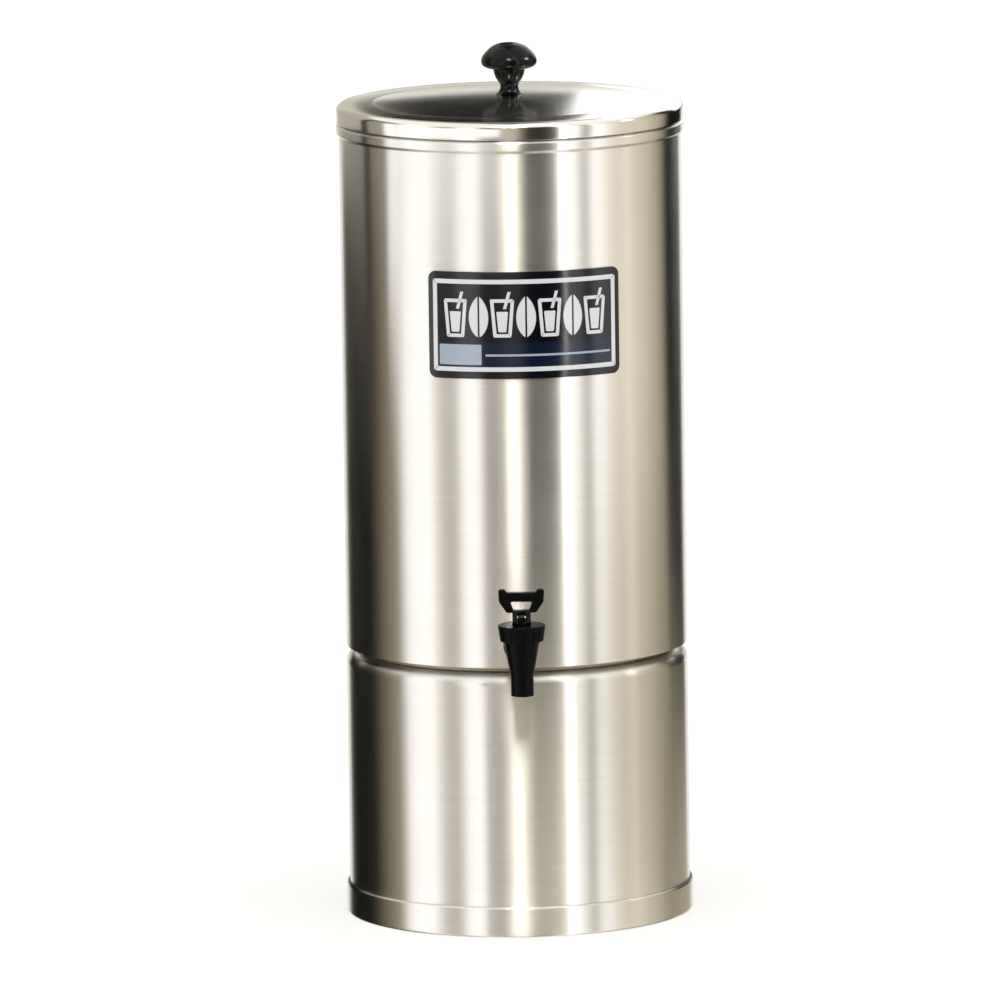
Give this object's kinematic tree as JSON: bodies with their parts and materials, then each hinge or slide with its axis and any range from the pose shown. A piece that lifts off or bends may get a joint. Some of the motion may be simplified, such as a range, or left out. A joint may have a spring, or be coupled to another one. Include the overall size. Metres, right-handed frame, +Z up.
{
  "type": "iced tea dispenser",
  "caption": "Tall round steel drink dispenser on a hollow base, with a lift-off lid and a self-closing faucet with a stirrup handle.",
  "frame": {"origin": "on the tank's axis, at the face on which the base stands", "axes": "+Z up along the tank's axis, the faucet towards -Y"},
  "size_m": [0.2646, 0.3223, 0.6655],
  "materials": {
    "tank_steel": "brushed stainless sheet, grain up the wall",
    "lid_steel": "polished stainless sheet",
    "seam_steel": "plain mill finish, in shadow",
    "plate_enamel": "dark blue-black enamel on a thin aluminium plate",
    "knob_plastic": "glossy black phenolic moulding",
    "faucet_plastic": "black polypropylene moulding, satin gloss",
    "handle_plastic": "black nylon moulding",
    "stem_plastic": "black moulded nylon",
    "cup_silicone": "translucent white silicone",
    "gasket_rubber": "black food-grade rubber",
    "insert_brass": "turned brass",
    "fastener_steel": "plain stainless steel",
    "spring_steel": "stainless spring wire"
  },
  "bodies": {
    "dispenser": {"base_shell": "tank_steel", "base_band": "tank_steel", "tank_foot_ring": "seam_steel", "tank_shell": "tank_steel", "tank_floor": "tank_steel", "name_plate": "plate_enamel", "faucet_body": "faucet_plastic", "faucet_bonnet": "faucet_plastic", "shank_gasket_outer": "gasket_rubber", "shank_gasket_inner": "gasket_rubber", "shank_washer": "stem_plastic", "shank_lock_nut": "stem_plastic"},
    "lid": {"lid_cover": "lid_steel", "lid_knob": "knob_plastic", "knob_insert": "insert_brass", "knob_washer": "fastener_steel", "knob_screw": "fastener_steel"},
    "stem": {"faucet_stem": "stem_plastic", "seat_cup": "cup_silicone", "return_spring": "spring_steel"},
    "handle": {"faucet_handle": "handle_plastic", "handle_pin": "fastener_steel"}
  },
  "joints": [
    {"name": "lid_lift", "type": "slide", "parent": "dispenser", "child": "lid", "axis": [0, 0, 1], "range_m": [0, 0.12]},
    {"name": "stem_lift", "type": "slide", "parent": "dispenser", "child": "stem", "axis": [0, 0, 1], "range_m": [0, 0.0043], "stiffness_N_per_m": 1350, "springref_m": -0.001, "deforming": ["seat_cup", "return_spring"]},
    {"name": "handle_tilt", "type": "hinge", "parent": "stem", "child": "handle", "pos_m": [0, -0.172, 0.2513], "axis": [1, 0, 0], "range_deg": [0, 45]}
  ],
  "couplings": [
    {"joint": "handle_tilt", "follows": "stem_lift", "rad_per_m": 181.82}
  ]
}
